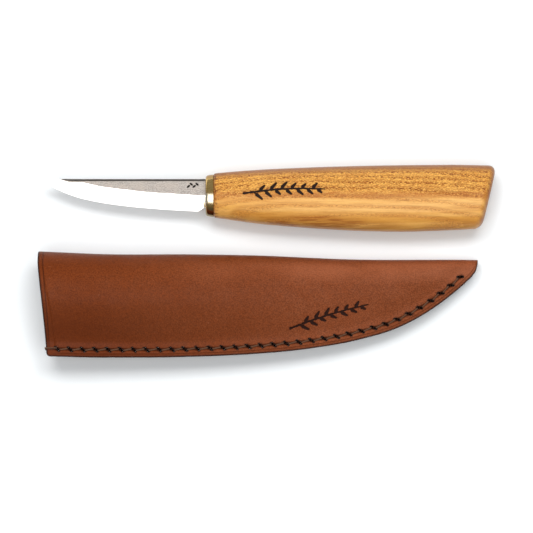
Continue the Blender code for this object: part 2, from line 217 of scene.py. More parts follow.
def stroke_mask(x, y, lines, softness=0.16, taper=0.45):
    """1 inside the strokes and 0 outside, for arrays of x and y."""
    nearest = np.full(np.shape(x), 9.0)
    for x0, y0, x1, y1, half in lines:
        dx, dy = x1 - x0, y1 - y0
        t = np.clip(((x - x0) * dx + (y - y0) * dy) / (dx * dx + dy * dy), 0, 1)
        nearest = np.minimum(nearest, np.hypot(x - x0 - t * dx, y - y0 - t * dy) - half * (1 - taper * t))
    return 1 - smoothstep(nearest / softness + 0.5)


# ---- material graphs ----


def map_range(tree, value, low, high, to_low, to_high):
    """A node that takes the value from low..high to to_low..to_high."""
    node = tree.nodes.new("ShaderNodeMapRange")
    for name, number in (("From Min", low), ("From Max", high), ("To Min", to_low), ("To Max", to_high)):
        node.inputs[name].default_value = number
    tree.links.new(value, node.inputs["Value"])
    return node


class Graph:
    """Short ways to wire a material's nodes."""

    def __init__(self, name, colour):
        self.colour = colour
        self.material = bpy.data.materials.new(name)
        self.material.use_nodes = True
        self.tree = self.material.node_tree
        self.shader = self.tree.nodes["Principled BSDF"]
        self.place = self.tree.nodes.new("ShaderNodeTexCoord").outputs["Object"]

    def link(self, value, socket):
        """Wires an output, or sets a number or a colour, on the socket."""
        if isinstance(value, bpy.types.NodeSocket):
            self.tree.links.new(value, socket)
        else:
            socket.default_value = (*value, 1) if isinstance(value, tuple) else value

    def stretched(self, x, y, z):
        """The place in millimetres, divided along each axis."""
        node = self.tree.nodes.new("ShaderNodeVectorMath")
        node.operation = "MULTIPLY"
        self.link(self.place, node.inputs[0])
        node.inputs[1].default_value = (1 / MM / x, 1 / MM / y, 1 / MM / z)
        return node.outputs[0]

    def noise(self, vector, detail=3.0, roughness=0.5):
        node = self.tree.nodes.new("ShaderNodeTexNoise")
        self.link(vector, node.inputs["Vector"])
        node.inputs["Scale"].default_value = 1.0
        node.inputs["Detail"].default_value = detail
        node.inputs["Roughness"].default_value = roughness
        return node.outputs["Fac"]

    def cells(self, vector):
        node = self.tree.nodes.new("ShaderNodeTexVoronoi")
        self.link(vector, node.inputs["Vector"])
        node.inputs["Scale"].default_value = 1.0
        return node.outputs["Distance"]

    def math(self, operation, a, b=0.0):
        node = self.tree.nodes.new("ShaderNodeMath")
        node.operation = operation
        self.link(a, node.inputs[0])
        self.link(b, node.inputs[1])
        return node.outputs[0]

    def plus(self, a, b):
        return self.math("ADD", a, b)

    def minus(self, a, b):
        return self.math("SUBTRACT", a, b)

    def times(self, first, *others):
        for other in others:
            first = self.math("MULTIPLY", first, other)
        return first

    def between(self, value, low, high, to_low=0.0, to_high=1.0):
        """Goes smoothly from to_low to to_high as the value goes from low to high. low may be the larger."""
        node = map_range(self.tree, value, low, high, to_low, to_high)
        node.interpolation_type = "SMOOTHSTEP"
        return node.outputs[0]

    def paint(self, share, colour):
        """Covers that share of the colour so far with another."""
        node = self.tree.nodes.new("ShaderNodeMix")
        node.data_type = "RGBA"
        self.link(share, node.inputs["Factor"])
        # Inputs 6 and 7 and output 2 are the ones for colours.
        self.link(self.colour, node.inputs[6])
        self.link(colour, node.inputs[7])
        self.colour = node.outputs[2]

    def axes(self, origin):
        """The place's coordinates, in millimetres from the origin."""
        node = self.tree.nodes.new("ShaderNodeSeparateXYZ")
        self.link(self.place, node.inputs[0])
        return [self.minus(self.times(output, 1 / MM), start) for output, start in zip(node.outputs, origin)]

    def attribute(self, name):
        node = self.tree.nodes.new("ShaderNodeAttribute")
        node.attribute_name = name
        return node.outputs["Fac"]

    def bump(self, height, distance_mm, under=None):
        node = self.tree.nodes.new("ShaderNodeBump")
        self.link(height, node.inputs["Height"])
        node.inputs["Distance"].default_value = distance_mm * MM
        if under:
            self.link(under, node.inputs["Normal"])
        return node.outputs["Normal"]

    def finish(self, roughness, normal=None, settings=None):
        for value, name in ((self.colour, "Base Color"), (roughness, "Roughness"), (normal, "Normal")):
            if value is not None:
                self.link(value, self.shader.inputs[name])
        for name, value in (settings or {}).items():
            self.shader.inputs[name].default_value = value
        return self.material


def srgb(red, green, blue):
    """A colour from its 0 to 255 display values, as the shader's linear values."""
    shares = [value / 255 for value in (red, green, blue)]
    return tuple(s / 12.92 if s <= 0.04045 else ((s + 0.055) / 1.055) ** 2.4 for s in shares)


def scaled(colour, *factors):
    """The colour times one factor, or times one for each of red, green and blue."""
    return tuple(value * factor for value, factor in zip(colour, factors * (3 // len(factors))))


# The growth rings' shape in the handle: their centre in the knife's Y and Z, and how they bow along it.
RING_CENTRE = (37.0, -32.0)
RING_WIDTH = 2.3
RING_BOW = 0.0005
RING_BOW_X = 50.0
# The darker flame in the belly, in the knife's X and Y.
FLAME_MIDDLE, FLAME_HALF = (47, -11.2), (21.0, 2.7)
HONEY, BROWN = srgb(208, 142, 58), srgb(146, 80, 26)


def wood_material():
    """Oiled ring-porous wood: rings cut on edge in the upper half, and lying flat in the lower."""
    g = Graph("oiled_elm", HONEY)
    x, y, z = g.axes(KNIFE)
    along = g.minus(x, RING_BOW_X)
    bow = g.times(along, along, RING_BOW)
    across, deep = g.minus(y, RING_CENTRE[0]), g.minus(z, RING_CENTRE[1])
    from_centre = g.math("SQRT", g.plus(g.times(across, across), g.times(deep, deep)))
    wander = g.noise(g.stretched(42, 7, 7), detail=2)
    rough_line = g.noise(g.stretched(3.2, 0.9, 0.9), detail=2)
    rings = g.plus(g.minus(from_centre, bow), g.times(wander, 3.2))
    rings = g.plus(g.math("DIVIDE", rings, RING_WIDTH), g.times(rough_line, 0.16))
    phase = g.math("FRACT", rings)
    early = g.times(g.between(phase, 0.0, 0.06), g.between(phase, 0.5, 0.2))
    late = g.between(phase, 0.72, 0.98)
    # The upper half is cut across more pores.
    upper = g.between(y, -3.0, 3.5)
    # Pores: short dark dashes along the grain.
    pore_noise = g.noise(g.stretched(1.1, 0.28, 0.28), detail=1.0)
    fine_pore_noise = g.noise(g.stretched(0.65, 0.2, 0.2), detail=1.0)
    pore_room = g.plus(g.times(early, g.between(upper, 0, 1, 0.38, 0.6)), g.times(upper, 0.5))
    pore = g.times(g.between(pore_noise, 0.5, 0.62), pore_room)
    fine_pore = g.times(g.between(fine_pore_noise, 0.48, 0.64), g.plus(pore_room, 0.1))
    fibres = g.noise(g.stretched(14, 0.42, 0.42), detail=4, roughness=0.62)
    streaks = g.noise(g.stretched(3.4, 0.46, 0.46), detail=3, roughness=0.65)
    cloud = g.noise(g.stretched(34, 5, 5), detail=3)
    pale_band = g.between(g.noise(g.stretched(70, 3.2, 3.2), detail=1.5), 0.46, 0.62)
    # Rays show as short flecks across the grain towards the butt.
    ray_noise = g.noise(g.stretched(0.42, 1.3, 1.3), detail=1.0)
    ray = g.times(g.between(ray_noise, 0.56, 0.7), upper, g.between(x, 50.6, 100.6))
    # Painted highlight: a pale band below the crest, where the overhead lamp's reflection lies. A flame of
    # darker wood lies low in the belly.
    painted_highlight_zone = g.times(g.between(y, -10, -5), g.between(y, 0.5, -2), g.between(x, 20, 60))
    flame_x, flame_y = (
        g.math("DIVIDE", g.minus(value, middle), half)
        for value, middle, half in zip((x, y), FLAME_MIDDLE, FLAME_HALF)
    )
    flame_room = g.plus(g.times(flame_x, flame_x), g.times(flame_y, flame_y))
    flame_streaks = g.between(g.noise(g.stretched(9, 0.7, 0.7), detail=3), 0.42, 0.6, 0.25, 0.85)
    flame = g.times(g.between(flame_room, 1.3, 0.3), flame_streaks)
    g.paint(g.between(cloud, 0.3, 0.7), srgb(230, 170, 82))
    g.paint(g.times(pale_band, g.between(upper, 0, 1, 0.42, 0.08)), srgb(248, 196, 116))
    g.paint(g.times(upper, 0.42), srgb(250, 186, 84))
    # Painted highlight below the crest.
    g.paint(g.times(painted_highlight_zone, 0.36), srgb(250, 198, 116))
    g.paint(flame, srgb(158, 92, 36))
    # A browner line runs along the crest.
    crest = g.times(g.between(y, -1.6, 0), g.between(y, 2.2, 0.8))
    g.paint(g.times(crest, g.between(streaks, 0.3, 0.6, 0.28, 0.68)), srgb(180, 108, 46))
    g.paint(g.times(late, g.between(upper, 0, 1, 0.3, 0.5)), BROWN)
    g.paint(g.times(early, 0.22), srgb(206, 128, 50))
    g.paint(g.times(g.between(fibres, 0.42, 0.78), 0.36), BROWN)
    streak = g.times(g.between(streaks, 0.5, 0.62), g.between(upper, 0, 1, 0.16, 0.62))
    g.paint(streak, srgb(184, 104, 34))
    g.paint(g.times(ray, 0.35), srgb(176, 104, 40))
    fleck = g.times(g.between(fine_pore_noise, 0.46, 0.36), upper)
    g.paint(g.times(fleck, 0.5), srgb(255, 208, 112))
    g.paint(g.times(fine_pore, 0.85), srgb(150, 76, 18))
    g.paint(g.times(pore, 0.95), srgb(124, 60, 14))
    # The butt's rim and the wood behind the ferrule are darker. The back of the grip is painted darker near
    # its outline, as painted shade where it turns from the light.
    g.paint(g.times(g.attribute("edge"), 0.64), srgb(120, 54, 12))
    g.paint(g.times(g.attribute("back"), 0.85), srgb(140, 80, 26))
    # A few stains lie behind the ferrule.
    behind_ferrule = g.between(x, FERRULE_LENGTH + 2.6, FERRULE_LENGTH + 0.4)
    stain = g.between(g.noise(g.stretched(1.3, 1.3, 1.3), detail=2), 0.52, 0.66)
    g.paint(g.times(behind_ferrule, stain), srgb(104, 54, 26))
    # The sprig is charred, and the wood round it scorched.
    g.paint(g.times(g.attribute("burn_glow"), 0.42), srgb(120, 60, 22))
    char = g.between(g.attribute("burn"), 0.15, 0.6)
    g.paint(char, srgb(32, 18, 12))
    roughness = g.plus(g.between(fibres, 0.3, 0.8, 0.34, 0.46), g.times(char, 0.35))
    grain = g.bump(g.times(g.plus(pore, fine_pore), -1.0), 0.05)
    grain = g.bump(fibres, 0.02, under=grain)
    oiled = {"Specular IOR Level": 0.34, "Coat Weight": 0.08, "Coat Roughness": 0.22}
    return g.finish(roughness, grain, oiled)


# A generic stamp, a row of small leaves: each one's x, y, and lean in radians, in the knife's frame.
STAMP_LEAVES = ((-7.2, 3.9, 0.7), (-6.0, 4.8, -0.7), (-4.8, 3.9, 0.7), (-3.6, 4.8, -0.7))
STAMP_LEAF_LENGTH, STAMP_LEAF_WIDTH = 1.7, 0.85


def blade_stamp(g):
    """1 on the stamp's leaves, on the upper flat."""
    x, y, z = g.axes(KNIFE)
    leaves = 0.0
    for leaf_x, leaf_y, lean in STAMP_LEAVES:
        away_x, away_y = g.minus(x, leaf_x), g.minus(y, leaf_y)
        cosine, sine = math.cos(lean), math.sin(lean)
        along = g.plus(g.times(away_x, cosine), g.times(away_y, sine))
        across = g.minus(g.times(away_y, cosine), g.times(away_x, sine))
        share_along = g.math("DIVIDE", along, STAMP_LEAF_LENGTH / 2)
        share_across = g.math("DIVIDE", across, STAMP_LEAF_WIDTH / 2)
        oval = g.plus(g.times(share_along, share_along), g.times(share_across, share_across))
        leaves = g.math("MAXIMUM", leaves, g.between(oval, 1.3, 0.7))
    return g.times(leaves, g.between(z, 0, 0.5))


def steel_material(name, base, roughness, scratch, mottled=0.0, stamped=False):
    """Ground steel. scratch is how deep its scratches are, and mottled how strong its dark speckle is."""
    g = Graph(name, base)
    scratches = g.noise(g.stretched(0.12, 2.4, 2.4), detail=3, roughness=0.7)
    speckle = g.noise(g.stretched(0.42, 0.42, 0.42), detail=3, roughness=0.7)
    stain = g.noise(g.stretched(5, 3, 3), detail=3)
    g.paint(g.times(g.between(speckle, 0.35, 0.68), mottled), scaled(base, 0.5))
    g.paint(g.between(stain, 0.4, 0.7, 0, 0.5), scaled(base, 0.92, 0.88, 0.84))
    rough = g.between(speckle, 0.3, 0.7, roughness, roughness * 1.3)
    normal = g.bump(scratches, scratch)
    if mottled:
        normal = g.bump(speckle, scratch, under=normal)
    if stamped:
        g.paint(blade_stamp(g), srgb(34, 30, 28))
    return g.finish(rough, normal, {"Metallic": 1.0})


def brass_material():
    g = Graph("brushed_brass", srgb(228, 190, 120))
    brushed = g.noise(g.stretched(0.12, 3, 3), detail=3, roughness=0.7)
    tarnish = g.noise(g.stretched(2.5, 2.5, 2.5), detail=4)
    g.paint(g.between(tarnish, 0.4, 0.75), srgb(196, 154, 86))
    # Painted highlight: a pale band across the crest, where the overhead lamp's reflection falls.
    _, y, _ = g.axes(KNIFE)
    painted_highlight_band = g.times(g.between(y, -4.4, -2.0), g.between(y, 1.6, 0))
    g.paint(g.times(painted_highlight_band, 0.85), srgb(246, 238, 216))
    # Painted shade: the ends are darkened for their dark reflections, the lower side from further in.
    g.paint(g.between(g.math("ABSOLUTE", y), 6.0, 8.0, 0, 0.8), srgb(150, 116, 74))
    g.paint(g.between(y, -4.6, -6.0, 0, 0.62), srgb(134, 128, 98))
    return g.finish(g.between(brushed, 0.3, 0.7, 0.14, 0.26), g.bump(brushed, 0.014), {"Metallic": 1.0})


def leather_material(name, left, right, raw=False):
    """Smooth waxed leather that goes from the left colour to the right one, or the raw strip in the seam."""
    g = Graph(name, left)
    x, y, _ = g.axes(SHEATH)
    cloud = g.noise(g.stretched(30, 16, 16), detail=3)
    soft = g.noise(g.stretched(5, 4, 4), detail=4, roughness=0.6)
    fine = g.noise(g.stretched(0.5, 0.42, 0.42), detail=3, roughness=0.65)
    pores = g.cells(g.stretched(0.62, 0.5, 0.5))
    grain = g.noise(g.stretched(1.5, 1.2, 1.2), detail=2)
    towards_point = g.between(g.plus(x, g.times(y, 0.6)), -2.4, 117.6)
    g.paint(g.plus(g.times(towards_point, 0.75), g.between(cloud, 0.3, 0.75, 0, 0.3)), right)
    g.paint(g.between(soft, 0.35, 0.75, 0, 0.22), scaled(left, 1.45))
    g.paint(g.between(grain, 0.3, 0.7, 0, 0.32), scaled(left, 1.5))
    g.paint(g.between(fine, 0.36, 0.66, 0, 0.72), scaled(left, 0.5))
    if not raw:
        # Painted shade: the lower corner at the mouth, where the bulge falls away to the seam, is darkened.
        g.paint(g.times(g.between(y, -18, -38), g.between(x, 80, 15), 0.4), srgb(88, 34, 8))
    # A few pale scuffs.
    scuff = g.between(g.noise(g.stretched(1.6, 0.42, 0.42), detail=1), 0.72, 0.78)
    scuffed_place = g.between(g.noise(g.stretched(15, 15, 15), detail=1), 0.56, 0.68)
    g.paint(g.times(scuff, scuffed_place, 0.5), srgb(186, 122, 90))
    normal = g.bump(g.plus(g.times(pores, 0.5), fine), 0.12 if raw else 0.05)
    if not raw:
        # Painted highlight: a lighter streak along the fold towards the point, where the fold's curve catches
        # the light.
        fold_painted_highlight = g.times(g.between(y, -2.5, -6.5), g.between(y, -15, -8), g.between(x, 40, 130))
        g.paint(g.times(fold_painted_highlight, g.between(cloud, 0.25, 0.6, 0.1, 0.3)), srgb(180, 108, 76))
        # The pressed lines and the dents round the stitch holes are darkened: partly burnished leather,
        # partly painted shade in the hollows.
        g.paint(g.times(g.attribute("pressed"), 0.88), srgb(54, 22, 11))
        g.paint(g.between(g.attribute("mark"), 0.12, 0.6, 0.0, 0.96), srgb(32, 15, 11))
        g.paint(g.times(g.attribute("edge"), 0.97), srgb(28, 13, 9))
        # Painted shade: the stitch holes and a thin rim round each are painted nearly black.
        g.paint(g.attribute("hole_painted_shade"), srgb(10, 6, 5))
    return g.finish(g.between(soft, 0.3, 0.75, 0.48, 0.58), normal, {"Specular IOR Level": 0.14})


def thread_material():
    g = Graph("waxed_thread", srgb(76, 50, 36))
    fibres = g.noise(g.stretched(0.25, 0.08, 0.08), detail=3)
    g.paint(g.between(fibres, 0.35, 0.7), srgb(114, 81, 62))
    # In the holes the thread is lost in shadow and old wax.
    g.paint(g.attribute("buried"), srgb(9, 6, 5))
    return g.finish(0.7, g.bump(fibres, 0.03), {"Specular IOR Level": 0.15})


def plastic_material(name, colour, roughness):
    g = Graph(name, colour)
    texture = g.noise(g.stretched(0.4, 0.4, 0.4), detail=3)
    g.paint(g.between(texture, 0.35, 0.7), scaled(colour, 1.4))
    return g.finish(g.between(texture, 0.3, 0.7, roughness, roughness + 0.12), g.bump(texture, 0.02))


# ---- the knife ----

# The driving curves are in the knife's frame: +X to the butt, +Y to the spine.
handle_top = curve_through(
    (0, 9.0), (4, 9.4), (11.6, 10.1), (24, 10.95), (49, 12.05), (65, 12.5), (88, 12.85), (102, 12.95),
    (125, 12.6),
)  # fmt: skip
handle_bottom = curve_through(
    (0, -8.8), (5, -9.35), (11.6, -10.35), (24, -11.95), (36.6, -13.05), (49, -13.95), (62, -14.65),
    (74, -15.0), (82, -15.1), (93, -14.85), (106, -14.3), (125, -13.2),
)  # fmt: skip
handle_half = curve_through(
    (3, 7.0), (12, 8.3), (22, 9.3), (34, HANDLE_HALF), (86, HANDLE_HALF), (105, 9.6), (125, 9),
)  # fmt: skip
HANDLE_START = FERRULE_LENGTH + 0.05
HANDLE_END = 118.85
FRONT_ROUNDING_LENGTH, FRONT_ROUNDING_DEPTH = 0.6, 0.35
HANDLE_OVAL_POWER = 2.25
BUTT_SLANT = math.tan(math.radians(13.2))
BUTT_TOP, BUTT_BOTTOM = 12.9, -14.2
SLANT_FROM = 70.0
BUTT_ROUNDING = 3.4
BURN_DEPTH = 0.22
# The mesh is finest where the sprig is burned in.
BURN_FROM, BURN_TO = 14, 52
BURN_FROM_TURN, BURN_TO_TURN = 52, 98
BORE_LOW, BORE_HIGH = (-5, -5.5, -2.5), (90, 5.5, 2.5)


def signed_power(values, power):
    return np.sign(values) * np.abs(values) ** power


def handle_rings(xs, insets, turns):
    """Oval rings that lean further back towards the butt. Turn 0 is +Y, and 90 degrees is +Z."""
    slant = BUTT_SLANT * smoothstep((xs - SLANT_FROM) / (HANDLE_END - SLANT_FROM))
    top = handle_top(xs + slant * BUTT_TOP) - insets
    bottom = handle_bottom(xs + slant * BUTT_BOTTOM) + insets
    half = handle_half(xs) - insets
    up, across = (signed_power(wave(turns), 2 / HANDLE_OVAL_POWER) for wave in (np.cos, np.sin))
    y = mix(bottom[:, None], top[:, None], (1 + up) / 2)
    return np.stack([xs[:, None] + slant[:, None] * y, y, half[:, None] * across], -1)


def make_handle(wood):
    front_end = HANDLE_START + FRONT_ROUNDING_LENGTH
    stations = np.concatenate([
        spaced(HANDLE_START, front_end, 0.1), spaced(front_end, BURN_FROM, 0.7),
        spaced(BURN_FROM, BURN_TO, 0.16), spaced(BURN_TO, HANDLE_END - BUTT_ROUNDING, 0.8),
    ])
    insets = FRONT_ROUNDING_DEPTH * (1 - smoothstep((stations - HANDLE_START) / FRONT_ROUNDING_LENGTH))
    rounding = np.radians(np.linspace(0, 90, 14))
    stations = np.concatenate([stations, HANDLE_END - BUTT_ROUNDING * (1 - np.sin(rounding))])
    insets = np.concatenate([insets, BUTT_ROUNDING * (1 - np.cos(rounding))])
    turns = np.radians(np.concatenate([
        spaced(0, BURN_FROM_TURN, 3), spaced(BURN_FROM_TURN, BURN_TO_TURN, 0.65),
        spaced(BURN_TO_TURN, 360, 3.5),
    ]))
    rings = handle_rings(stations, insets, turns)

    # A wood surface is never quite fair: a faint waviness along the grain.
    x, y, z = rings[..., 0], rings[..., 1], rings[..., 2]
    wave = 0.035 * np.sin(x / 6.1 + 2 * np.sin(y / 4)) + 0.02 * np.sin(x / 2.3 + y / 3.1)
    z += wave * np.clip(z / HANDLE_HALF, -1, 1)
    lines = placed_sprig(33, 1.8, 3, length=34, spread=6.6, pairs=13, bend=0.14)
    burn = stroke_mask(x, y, lines) * (z > 0)
    glow = stroke_mask(x, y, lines, softness=1.6) * (z > 0)
    z -= BURN_DEPTH * burn
    near_butt = smoothstep((stations - HANDLE_END) / 2.6 + 1)
    near_front = 1 - smoothstep(stations - HANDLE_START)
    mesh = ring_mesh("handle_wood", rings, KNIFE, sharp_angle=60)
    set_attribute(mesh, "burn", burn.ravel())
    set_attribute(mesh, "burn_glow", glow.ravel())
    # back: painted shade along the back of the grip, near its outline.
    set_attribute(mesh, "back", smoothstep((y / handle_top(x) - 0.7) / 0.28).ravel())
    set_attribute(mesh, "edge", np.clip(near_butt + 0.7 * near_front, 0, 1).repeat(len(turns)))
    handle = add_piece("handle_wood", mesh, [wood], "knife", "handle")
    cut_with(handle, box_cutter(BORE_LOW, BORE_HIGH, KNIFE))


HEEL_X = -3.2
HEEL_Y, CHOIL_TOP_Y = -6.6, -4.6
blade_belly = curve_through(
    (-BLADE_LENGTH, 6.5), (-66.4, 5.1), (-61.4, 2.35), (-55, -0.2), (-46, -2.45), (-36, -4.0), (-21, -5.5),
    (HEEL_X, HEEL_Y),
)  # fmt: skip
blade_spine = curve_through((-BLADE_LENGTH, 6.7), (-62, 6.98), (-50, 7), (0, 7))
BEVEL_HEIGHT = 6.8
BLADE_THICKNESS = 2.8
EDGE_THICKNESS = 0.1
BEVEL_SLOPE = (BLADE_THICKNESS - EDGE_THICKNESS) / 2 / BEVEL_HEIGHT
SPINE_ROUNDING = 0.9
SPINE_FADES_AT, SPINE_FADE_HEIGHT = 4.3, 2.6  # the rounding grows from nothing over this part of the height
BEVEL_FACES = 8
FLAT_SHARES = (0.06, 0.25, 0.5, 0.75, 1)
TANG_LENGTH = 86.0
TANG_GAP = 0.05  # from the blade's last section to the tang's first


def blade_side(x):
    """The +Z side of the blade's section at x, from the edge to the spine: points (y, z)."""
    ground_from, spine = float(blade_belly(x)), float(blade_spine(x))
    edge = ground_from if x < HEEL_X else mix(HEEL_Y, CHOIL_TOP_Y, 1 - x / HEEL_X)
    fade = smoothstep((spine - edge - SPINE_FADES_AT) / SPINE_FADE_HEIGHT)
    chamfer = max(0.04, SPINE_ROUNDING * fade)
    room = spine - 1.6 * chamfer
    half = min(BLADE_THICKNESS / 2, EDGE_THICKNESS / 2 + BEVEL_SLOPE * (room - ground_from))
    chamfer = min(chamfer, 0.8 * half, 0.2 * (spine - edge))
    waver = 0.06 * math.sin(x / 3.1) + 0.04 * math.sin(x / 1.3 + 1)
    bevel_top = min(ground_from + BEVEL_HEIGHT + waver, room)
    bevel = np.linspace((edge, EDGE_THICKNESS / 2), (bevel_top, half), BEVEL_FACES + 1)
    flat_end = spine - chamfer
    points = bevel.tolist() + [(mix(bevel_top, flat_end, share), half) for share in FLAT_SHARES]
    for turn in (22, 45, 68, 90):
        angle = math.radians(turn)
        points.append((flat_end + chamfer * math.sin(angle), half - chamfer * (1 - math.cos(angle))))
    return np.array(points)


def tang_side(x, count):
    share = x / TANG_LENGTH
    height, half = mix(4.5, 2.5, share), mix(1.4, 1.1, share)
    turns = np.radians(np.linspace(-90, 90, count))
    return np.stack([height * np.sin(turns), half * np.cos(turns) ** 0.3 * 0.98 + half * 0.02], -1)


def make_blade(flat, bevel, spine):
    tip = -BLADE_LENGTH
    stations = np.concatenate([
        spaced(tip, tip + 6, 0.18), spaced(tip + 6, -6, 0.7), spaced(-6, -TANG_GAP, 0.35), [-TANG_GAP]
    ])
    sides = [blade_side(x) for x in stations]
    tang_stations = np.linspace(0, TANG_LENGTH, 20)
    sides += [tang_side(x, len(sides[0])) for x in tang_stations]
    rings = []
    for x, side in zip(np.concatenate([stations, tang_stations]), sides):
        upper = np.column_stack([np.full(len(side), x), side])
        rings.append(np.concatenate([upper, upper[::-1] * (1, 1, -1)]))
    rings = np.array(rings)
    mesh = ring_mesh("blade_steel", rings, KNIFE, sharp_angle=8)
    size = rings.shape[1]
    for polygon in mesh.polygons[: (len(stations) - 1) * size]:
        place = polygon.index % size
        place = min(place, size - 2 - place) if place < size - 1 else -1
        if place >= BEVEL_FACES + len(FLAT_SHARES):
            polygon.material_index = 2
        elif 0 <= place < BEVEL_FACES:
            polygon.material_index = 1
    add_piece("blade_steel", mesh, [flat, bevel, spine], "knife", "blade")


FERRULE_FLATNESS = 0.77
FERRULE_ROUNDING = 1.1
FERRULE_BULGE, FERRULE_BULGE_LENGTH = 0.06, 2.4
SLOT_LOW, SLOT_HIGH = (-5, -4.7, -1.55), (10, 4.7, 1.55)


def make_ferrule(brass):
    """A turned oval plate, filed round at its front rim."""
    front, back = 8.5, 8.9
    profile = [(0.0, inset) for inset in (front * 0.75, front * 0.5, front * 0.25, 1.6)]
    for turn in range(0, 91, 10):
        angle = math.radians(turn)
        profile.append((FERRULE_ROUNDING * (1 - math.cos(angle)), FERRULE_ROUNDING * (1 - math.sin(angle))))
    middle = np.linspace(FERRULE_ROUNDING, FERRULE_LENGTH - 0.25, 9)[1:]
    for x in middle:
        share = (x - FERRULE_ROUNDING) / FERRULE_BULGE_LENGTH
        profile.append((x, -FERRULE_BULGE * math.sin(math.pi * share)))
    profile += [(FERRULE_LENGTH - 0.1, 0.05), (FERRULE_LENGTH, 0.2), (FERRULE_LENGTH, 2.0)]
    turns = np.linspace(0, 2 * math.pi, 161)[:-1]
    rings = []
    for x, inset in profile:
        radius = mix(front, back, x / FERRULE_LENGTH) - inset
        rings.append(np.stack([
            np.full_like(turns, x), radius * np.cos(turns), radius * FERRULE_FLATNESS * np.sin(turns)
        ], -1))
    mesh = ring_mesh("ferrule_brass", np.array(rings), KNIFE, sharp_angle=50)
    ferrule = add_piece("ferrule_brass", mesh, [brass], "knife", "ferrule")
    cut_with(ferrule, box_cutter(SLOT_LOW, SLOT_HIGH, KNIFE))


# ---- the sheath ----

# The driving curves are in the sheath's frame: +X from the mouth to the point, +Y to the fold.
SHEATH_LENGTH = 183.4
LEATHER = 2.2
WELT = 2.4
WELT_WIDTH = 5.0
WELT_START, WELT_FINE_FROM, WELT_END = 4.75, 160, 178.5
FLANGE_WIDTH = 5.6
FLANGE_HALF = LEATHER + WELT / 2
MIDDLE_AT_POINT, MIDDLE_SLOPE = 4.6, 0.06
FOLD_POWER = 2.3
SHOULDER_POWER = 0.75  # below 1, the rise from the seam is steepest near the seam
BACK_FLAT_SHARE = 0.25  # how much of the back, next to the round part, lies flat
RIM_ROUNDING = 0.5
LEAST_INSIDE = 0.3

fold_line = curve_through(
    (0, 0.1), (10, -0.35), (25, -1.0), (63, -1.15), (88, -1.55), (134, -3.35), (145, -3.45), (171, -3.4),
    (190, -3.6),
)  # fmt: skip
seam_edge = curve_through(
    (0, -43.8), (25, -44.3), (45, -44.3), (63, -44.0), (88, -42.95), (113, -40.6), (134, -36.8),
    (151, -31.45), (163.8, -24.4), (172, -18.4), (178.4, -12.9), (181.4, -9.8), (182.8, -7.5),
    (SHEATH_LENGTH, -5.1),
)  # fmt: skip
underside = curve_through((0, 2.4), (25, 1.0), (50, 0), (150, 0), (168, 0.9), (178, 1.6), (190, 1.6))
fold_depth = curve_through(
    (0, 16.5), (50, 16.0), (84, 14.0), (150, 8.0), (178, FLANGE_HALF), (190, FLANGE_HALF),
)  # fmt: skip
mouth_line = curve_through((-46, 3.1), (-37, 2.5), (-20, 1.1), (-11, 0.1), (-3, -0.6), (6, -0.5))
MOUTH_CORNER = 1.5
MOUTH_SHAPES_TO = 30  # the mouth's line shifts the sections less and less up to here

HOLE_COUNT = 34
HOLE_INSET = 3.3
FIRST_HOLE_X, LAST_HOLE_X = 7.4, 176.0
HOLE_LENGTH, HOLE_WIDTH = 2.2, 1.0
HOLE_LEAN = math.radians(-40)
THREAD_RADIUS = 0.36
THREAD_SPREAD = 0.64
THREAD_DIVE = 1.0  # how far before a hole a thread starts to go down
THREAD_END = 0.3  # how far from the middle plane a thread's end lies
THREAD_STEP, THREAD_SIDES = 0.17, 12
PLY_PITCH = 1.5
CUTTER_HEIGHT = 12

GROOVE_DEPTH, GROOVE_HALF = 0.36, 0.95
CREASE_INSET, CREASE_DEPTH, CREASE_HALF = 1.45, 0.2, 0.32
MOUTH_CREASE_INSETS = (2.3, 1.3)  # at the fold and at the seam
MOUTH_CREASE_DEPTH, MOUTH_CREASE_HALF = 0.34, 0.42
THREAD_LIFT = FLANGE_HALF - GROOVE_DEPTH + THREAD_RADIUS * 0.7
HOLLOW_DEPTH = 0.14  # of the dent round each stitch hole
MARK_DEPTH = 0.36
# How far round each stitch hole the painted shade reaches.
HOLE_SHADE_RIM = 0.12
DARK_EDGE = 1.25
MOUTH_X_AT_SEAM = 3.0


def middle_height(x):
    return MIDDLE_AT_POINT + MIDDLE_SLOPE * (SHEATH_LENGTH - x)


def seam_slope(x):
    return seam_edge(x + 0.5) - seam_edge(x - 0.5)


def seam_distance(x, y):
    """How far a point lies inside the sewn edge."""
    return (y - seam_edge(x)) / np.hypot(1, seam_slope(x))


def seam_holes():
    """x, y and the seam's direction at each stitch hole, evenly spaced along the seam."""
    x = np.linspace(FIRST_HOLE_X - 3, LAST_HOLE_X + 6, 400)
    slope = seam_slope(x)
    length = np.hypot(1, slope)
    xs, ys, angles = x - HOLE_INSET * slope / length, seam_edge(x) + HOLE_INSET / length, np.arctan(slope)
    lengths = np.concatenate([[0], np.cumsum(np.hypot(np.diff(xs), np.diff(ys)))])
    first, last = np.interp((FIRST_HOLE_X, LAST_HOLE_X), xs, lengths)
    wanted = np.linspace(first, last, HOLE_COUNT)
    return np.stack([np.interp(wanted, lengths, values) for values in (xs, ys, angles)], -1)


def rounded_in(distance, radius):
    """How far a rounded edge stands back, at a distance from the edge."""
    share = np.clip(1 - distance / radius, 0, 1)
    return radius * (1 - np.sqrt(1 - share**2))


def band(distance, half):
    """1 in the middle of a pressed line, and 0 from half away on."""
    return 1 - smoothstep(np.abs(distance) / half)


